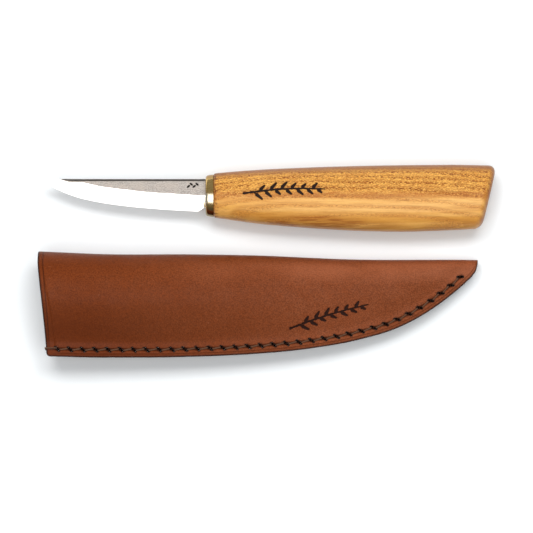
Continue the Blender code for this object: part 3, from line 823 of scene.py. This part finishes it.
def pressed_lines(x, y):
    """How deep the seam's groove, the creases along the edge and the mouth, and the holes' dents are."""
    inside = seam_distance(x, y)
    from_mouth = x - mouth_line(y)
    from_last_hole = LAST_HOLE_X + 1.4 - x
    groove = band(inside - HOLE_INSET, GROOVE_HALF)
    groove = groove * smoothstep(from_mouth / 1.5) * smoothstep(from_last_hole / 1.5)
    crease = band(inside - CREASE_INSET, CREASE_HALF) * smoothstep((from_mouth - 1.5) / 2)
    mouth_inset = mix(*MOUTH_CREASE_INSETS, np.clip(-y / 44, 0, 1))
    mouth_crease = band(from_mouth - mouth_inset, MOUTH_CREASE_HALF) * smoothstep((inside - 3.2) / 1.5)
    depth = np.maximum(GROOVE_DEPTH * groove, CREASE_DEPTH * crease)
    depth = np.maximum(depth, MOUTH_CREASE_DEPTH * mouth_crease)
    for hole_x, hole_y, _ in seam_holes():
        depth = depth + HOLLOW_DEPTH * np.exp(-((x - hole_x) ** 2 + (y - hole_y) ** 2) / 1.2)
    return depth


def hole_slits():
    """The stitch holes as strokes: x0, y0, x1, y1 and their half width."""
    xs, ys, angles = seam_holes().T
    half = HOLE_LENGTH / 2
    across, up = half * np.cos(angles + HOLE_LEAN), half * np.sin(angles + HOLE_LEAN)
    widths = np.full_like(xs, HOLE_WIDTH / 2 + HOLE_SHADE_RIM)
    return np.stack([xs - across, ys - up, xs + across, ys + up, widths], -1)


def leather_height(x, y, back=False):
    """The outside's height over the middle at x, y, before anything is pressed in. The back lies flatter."""
    fold = fold_line(x)
    centre = fold - fold_depth(x)
    flange = np.minimum(seam_edge(x) + FLANGE_WIDTH * np.hypot(1, seam_slope(x)), centre - 2)
    half = np.maximum(FLANGE_HALF, middle_height(x) - underside(x))
    share = np.clip((y - flange) / (centre - flange), 0, 1)
    rise = smoothstep(share / (1 - BACK_FLAT_SHARE)) if back else smoothstep(share**SHOULDER_POWER)
    height = mix(FLANGE_HALF, half, rise)
    round_part = np.clip((y - centre) / (fold - centre), 0, 1)
    return height * (1 - round_part**FOLD_POWER) ** (1 / FOLD_POWER)


def section_ys(x, edge_insets, shoulder_count, fold_turns):
    """The y values at which a section is drawn, from the sewn edge to the fold."""
    seam, fold = float(seam_edge(x)), float(fold_line(x))
    centre = fold - float(fold_depth(x))
    stretch = math.hypot(1, float(seam_slope(x)))
    flat_end = max(centre, seam + 0.3 * (fold - seam))
    flange_end = min(seam + edge_insets[-1] * stretch, seam + 0.6 * (flat_end - seam))
    edge = seam + np.array(edge_insets) / edge_insets[-1] * (flange_end - seam)
    across = np.linspace(flange_end, flat_end, shoulder_count + 1)[1:]
    first_turn = math.asin(min(1, max(0, (flat_end - centre) / (fold - centre)) ** (FOLD_POWER / 2)))
    turns = mix(first_turn, math.pi / 2, np.array(fold_turns))
    round_part = mix(centre, fold, np.sin(turns) ** (2 / FOLD_POWER))
    return np.concatenate([edge, across, round_part])


leather_mark = placed_sprig(121.0, -27.2, 17, length=34, spread=6.2, pairs=13, bend=0.12)


def leather_ring(x, rim):
    """A closed ring round the folded leather at x. rim is how far the mouth's rounding takes it in."""
    fine_insets = [0, 0.05, 0.14, 0.28, 0.5] + list(np.arange(0.65, 5.01, 0.15)) + [5.3, FLANGE_WIDTH]
    upper_y = section_ys(x, fine_insets, 70, np.linspace(0, 1, 25)[1:])
    coarse_insets = [0, 0.14, 0.5] + list(np.arange(0.8, 5.0, 0.3)) + [FLANGE_WIDTH]
    lower_y = section_ys(x, coarse_insets, 16, np.linspace(0, 1, 17)[1:])
    inner_y = section_ys(x, [0, 0.3, 1.2, 3, FLANGE_WIDTH], 10, np.linspace(0, 1, 13)[1:])

    def outside(ys, back):
        height = leather_height(x, ys, back) - rounded_in(seam_distance(x, ys), RIM_ROUNDING)
        height = height - pressed_lines(x, ys) * np.clip(height - 1.4, 0, 1)
        if not back:
            height = height - MARK_DEPTH * stroke_mask(x, ys, leather_mark)
        line = np.stack([ys, height], -1)
        return (line - rim * normals(outline(ys, back))) * (1, -1 if back else 1)

    def outline(ys, back):
        return np.stack([ys, leather_height(x, ys, back)], -1)

    def normals(points):
        way = np.gradient(points, axis=0)
        way /= np.linalg.norm(way, axis=1)[:, None]
        way[-1] = (0, -1)
        return np.stack([-way[:, 1], way[:, 0]], -1)

    def inside(back):
        """The layer's inner face. Where the point leaves it no room, it is a narrow strip."""
        line = outline(inner_y, back)
        line -= LEATHER * normals(line)
        seam, inner_fold = float(seam_edge(x)), float(fold_line(x)) - LEATHER
        if inner_fold - seam < LEAST_INSIDE:
            line[:, 0] = np.linspace(seam, max(inner_fold, seam + 0.25), len(line))
        else:
            line[:, 0] = np.clip(line[:, 0], seam, inner_fold)
        line[:, 1] = np.clip(line[:, 1], 0.05, None)
        line[-1, 1] = 0
        return line * (1, -1 if back else 1)

    upper, lower = outside(upper_y, False), outside(lower_y, True)
    section = np.concatenate([upper, lower[-2::-1], inside(True)[:-1], inside(False)[::-1]])
    middle = float(middle_height(x))
    shift = mouth_line(section[:, 0]) + rounded_in(seam_distance(x, section[:, 0]), MOUTH_CORNER)
    shift = shift * (1 - smoothstep(x / MOUTH_SHAPES_TO))
    return np.column_stack([x + shift, section[:, 0], middle + section[:, 1]])


def hole_cutters(length, width, offsets=(0,)):
    """Boxes through the sheath at each stitch hole, at the offsets along the hole."""
    made = bmesh.new()
    for x, y, angle in seam_holes():
        turn = Matrix.Rotation(angle + HOLE_LEAN, 3, "Z")
        middle = Vector((x, y, middle_height(x))) + Vector(SHEATH)
        for offset in offsets:
            for vertex in bmesh.ops.create_cube(made, size=1)["verts"]:
                spot = vertex.co * Vector((length, width, CUTTER_HEIGHT)) + Vector((offset, 0, 0))
                vertex.co = (turn @ spot + middle) * MM
    return mesh_from(made, "holes")


def piece_points(piece):
    """The piece's vertices in the sheath's frame."""
    flat = np.empty(len(piece.data.vertices) * 3)
    piece.data.vertices.foreach_get("co", flat)
    return flat.reshape(-1, 3) / MM - SHEATH


def make_leather(leather):
    rim_steps = np.array([0, 0.05, 0.14, 0.28, RIM_ROUNDING])
    stations = np.concatenate([
        rim_steps, spaced(0.75, 4, 0.25), spaced(4, 102, 0.8), spaced(102, 141, 0.28), spaced(141, 168, 0.8),
        spaced(168, 180, 0.36), spaced(180, 182, 0.16), spaced(182, SHEATH_LENGTH, 0.08), [SHEATH_LENGTH],
    ])
    rings = np.array([leather_ring(x, rounded_in(x, RIM_ROUNDING)) for x in stations])
    mesh = ring_mesh("sheath_leather_body", rings, SHEATH, sharp_angle=38)
    piece = add_piece("sheath_leather_body", mesh, [leather], "sheath", "sheath_leather")
    cut_with(piece, hole_cutters(HOLE_LENGTH, HOLE_WIDTH))
    x, y, z = piece_points(piece).T
    on_top = z > middle_height(x) + 1.3
    outside = np.abs(z - middle_height(x)) > 1.5
    set_attribute(piece.data, "pressed", np.clip(pressed_lines(x, y) / GROOVE_DEPTH, 0, 1) * outside)
    set_attribute(piece.data, "mark", stroke_mask(x, y, leather_mark) * on_top)
    from_edge = np.minimum(seam_distance(x, y), x - mouth_line(y))
    set_attribute(piece.data, "edge", 1 - smoothstep(from_edge / DARK_EDGE))
    # Painted shade in and round the stitch holes.
    set_attribute(piece.data, "hole_painted_shade", stroke_mask(x, y, hole_slits(), softness=0.4, taper=0) * outside)


def make_welt(raw_leather):
    """The strip between the layers, flush with the sewn edge."""
    stations = np.concatenate([
        spaced(WELT_START, WELT_FINE_FROM, 1.0), spaced(WELT_FINE_FROM, WELT_END, 0.4), [WELT_END]
    ])
    slope = seam_slope(stations)
    length = np.hypot(1, slope)
    half = WELT / 2 - 0.05
    # Insets from the sewn edge and heights, over the middle and then under it.
    section = [(WELT_WIDTH, half - 0.2), (WELT_WIDTH - 0.3, half), (3.6, half), (3.0, half), (1.2, half)]
    section += [(0.35, half), (0.12, half - 0.25), (0.05, 0.35)]
    section += [(inset, -height) for inset, height in reversed(section)]
    insets, heights = np.array(section).T
    x = stations[:, None] - insets * (slope / length)[:, None]
    y = seam_edge(stations)[:, None] + insets / length[:, None]
    mesh = ring_mesh("sheath_welt_strip", np.stack([x, y, middle_height(x) + heights], -1), SHEATH)
    welt = add_piece("sheath_welt_strip", mesh, [raw_leather], "sheath", "sheath_welt")
    # In the strip each thread has its own tight hole, so no light comes through.
    tight = 2.1 * THREAD_RADIUS
    cut_with(welt, hole_cutters(tight, tight, (-THREAD_SPREAD, THREAD_SPREAD)))


def thread_route(first_run):
    """Corner points of a thread that weaves through every hole. first_run is 1 if it starts on top, or -1.

    It comes up at the far end of a hole and goes down at the near end of the next.
    """
    low = THREAD_LIFT - 2.2 * THREAD_RADIUS
    holes = seam_holes()

    def place(hole, way):
        x, y, angle = hole
        lean = angle + HOLE_LEAN
        return np.array([x + way * THREAD_SPREAD * math.cos(lean), y + way * THREAD_SPREAD * math.sin(lean)])

    def point(spot, height):
        return [spot[0], spot[1], float(middle_height(spot[0])) + height]

    spots = [place(hole, first_run * (-1) ** i) for i, hole in enumerate(holes)]
    if first_run > 0:
        # It starts in the first hole and goes round the mouth's edge, a little clear of it.
        tail = place(holes[0], -first_run)
        beyond, wide = MOUTH_X_AT_SEAM - THREAD_RADIUS - 0.15, THREAD_LIFT + 0.35
        route = [point(tail, THREAD_END), point(tail, THREAD_LIFT), point((beyond, tail[1]), wide)]
        route += [point((beyond, spots[0][1]), -wide), point(spots[0], -THREAD_LIFT)]
    else:
        route = [point(spots[0], -THREAD_END)]
    run = first_run
    for spot, following in zip(spots, spots[1:]):
        dive = (following - spot) * THREAD_DIVE / np.linalg.norm(following - spot)
        route += [point(spot, run * low), point(spot + dive, run * THREAD_LIFT)]
        route += [point(following - dive, run * THREAD_LIFT), point(following, run * low)]
        run = -run
    route.append(point(spots[-1], -run * THREAD_END))
    return np.array(route)


def make_thread(name, route, thread):
    """Three plies twisted together, laid along the route with rounded corners."""
    lengths = np.concatenate([[0], np.cumsum(np.linalg.norm(np.diff(route, axis=0), axis=1))])
    places = np.linspace(0, lengths[-1], int(lengths[-1] / THREAD_STEP))
    points = np.stack([np.interp(places, lengths, column) for column in route.T], -1)
    kernel = np.array([1, 2, 3, 2, 1]) / 9
    padded = np.concatenate([points[:1].repeat(2, 0), points, points[-1:].repeat(2, 0)])
    points = np.stack([np.convolve(column, kernel, "valid") for column in padded.T], -1)

    way = np.gradient(points, axis=0)
    way /= np.linalg.norm(way, axis=1)[:, None]
    # The seam lies almost level, so a fixed sideways direction never runs along the thread.
    sideways = np.cross(way, np.array([0.31, -0.9, 0.31]))
    frames = [sideways[0] / np.linalg.norm(sideways[0])]
    for direction in way[1:]:
        kept = frames[-1] - direction * np.dot(frames[-1], direction)
        frames.append(kept / np.linalg.norm(kept))
    first = np.array(frames)
    second = np.cross(way, first)
    turns = np.linspace(0, 2 * math.pi, THREAD_SIDES + 1)[:-1]
    twist = places[:, None] / PLY_PITCH * 2 * math.pi / 3
    radius = THREAD_RADIUS * (0.86 + 0.14 * np.abs(np.cos(1.5 * (turns[None, :] - twist))) ** 0.8)
    below_run = THREAD_LIFT - np.abs(points[:, 2] - middle_height(points[:, 0]))
    buried = smoothstep((below_run - 0.3 * THREAD_RADIUS) / (1.1 * THREAD_RADIUS))
    buried *= points[:, 0] > MOUTH_X_AT_SEAM
    rings = points[:, None] + radius[..., None] * (
        np.cos(turns)[None, :, None] * first[:, None] + np.sin(turns)[None, :, None] * second[:, None]
    )
    mesh = ring_mesh(name + "_twist", rings, SHEATH)
    set_attribute(mesh, "buried", buried.repeat(THREAD_SIDES))
    add_piece(name + "_twist", mesh, [thread], "sheath", name)


# ---- the camera, the floor and the lights ----

CAMERA_LENS = 400.0
CAMERA_SENSOR = 36.0
VIEW_WIDTH = 223.3
VIEW_MIDDLE = (-0.1, -2.27, 10.0)

FLOOR_HALF = 3  # metres
FLOOR_COLOUR = (0.905, 0.93, 0.942)
WORLD_COLOUR = (0.95, 0.98, 1)
# Each lamp's name, place and size in metres, watts, and whether glossy surfaces mirror it.
SOFTBOXES = (
    ("key_left", (-0.42, 0.9, 1.9), (0.8, 0.8), 17.5, False),
    ("key_right", (0.42, 0.9, 1.9), (0.8, 0.8), 17.5, False),
    ("overhead", (0, -0.65, 3.0), (3.2, 2.0), 46, True),
)


def make_camera():
    data = bpy.data.cameras.new("camera")
    data.lens = CAMERA_LENS
    data.sensor_width = CAMERA_SENSOR
    camera = add_object("camera", data)
    distance = VIEW_WIDTH * CAMERA_LENS / CAMERA_SENSOR
    camera.location = (Vector(VIEW_MIDDLE) + Vector((0, 0, distance))) * MM
    bpy.context.scene.camera = camera


def make_floor():
    made = bmesh.new()
    bmesh.ops.create_grid(made, x_segments=2, y_segments=2, size=FLOOR_HALF)
    mesh = mesh_from(made, "floor")
    mesh.materials.append(Graph("floor", FLOOR_COLOUR).finish(0.9))
    add_object("floor", mesh)


def make_world():
    """A pale studio, darkest on the near side."""
    world = bpy.data.worlds.new("studio")
    world.use_nodes = True
    tree = world.node_tree
    background = tree.nodes["Background"]
    split = tree.nodes.new("ShaderNodeSeparateXYZ")
    tree.links.new(tree.nodes.new("ShaderNodeTexCoord").outputs["Generated"], split.inputs[0])
    height = map_range(tree, split.outputs["Z"], 0.0, 0.9, 0.19, 0.2)
    side = map_range(tree, split.outputs["Y"], -1.0, 1.0, 0.7, 1.7)
    product = tree.nodes.new("ShaderNodeMath")
    product.operation = "MULTIPLY"
    tree.links.new(height.outputs[0], product.inputs[0])
    tree.links.new(side.outputs[0], product.inputs[1])
    background.inputs["Color"].default_value = (*WORLD_COLOUR, 1)
    tree.links.new(product.outputs[0], background.inputs["Strength"])
    bpy.context.scene.world = world


def make_lights():
    for name, place, size, watts, mirrored in SOFTBOXES:
        data = bpy.data.lights.new(name, "AREA")
        data.shape = "RECTANGLE"
        data.size, data.size_y = size
        data.energy = watts
        light = add_object(name, data)
        light.location = place
        light.rotation_euler = (-Vector(place)).to_track_quat("-Z", "Y").to_euler()
        light.visible_glossy = mirrored


# ---- everything together ----

make_handle(wood_material())
make_blade(
    flat=steel_material("blade_flat_steel", srgb(190, 181, 173), 0.34, 0.012, mottled=1.0, stamped=True),
    bevel=steel_material("blade_bevel_steel", srgb(248, 247, 245), 0.09, 0.001),
    # The spine's steel is darker than the flats' as painted shade, for the dark reflection along its
    # rounding.
    spine=steel_material("blade_spine_steel", srgb(122, 115, 108), 0.3, 0.008, mottled=0.2),
)
make_ferrule(brass_material())
make_leather(leather_material("sheath_leather", srgb(110, 49, 16), srgb(142, 77, 45)))
make_welt(leather_material("welt_leather", srgb(80, 42, 26), srgb(92, 50, 30), raw=True))
thread = thread_material()
make_thread("seam_thread_a", thread_route(1), thread)
make_thread("seam_thread_b", thread_route(-1), thread)

# The glue and the liner keep their CAD shapes.
for node, plastic in (
    ("tang_adhesive", plastic_material("glue", srgb(200, 180, 130), 0.35)),
    ("sheath_liner", plastic_material("liner_plastic", srgb(30, 30, 30), 0.4)),
):
    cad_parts[node].data.materials.clear()
    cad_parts[node].data.materials.append(plastic)

make_floor()
make_world()
make_lights()
make_camera()
bpy.context.scene.view_settings.view_transform = "Standard"
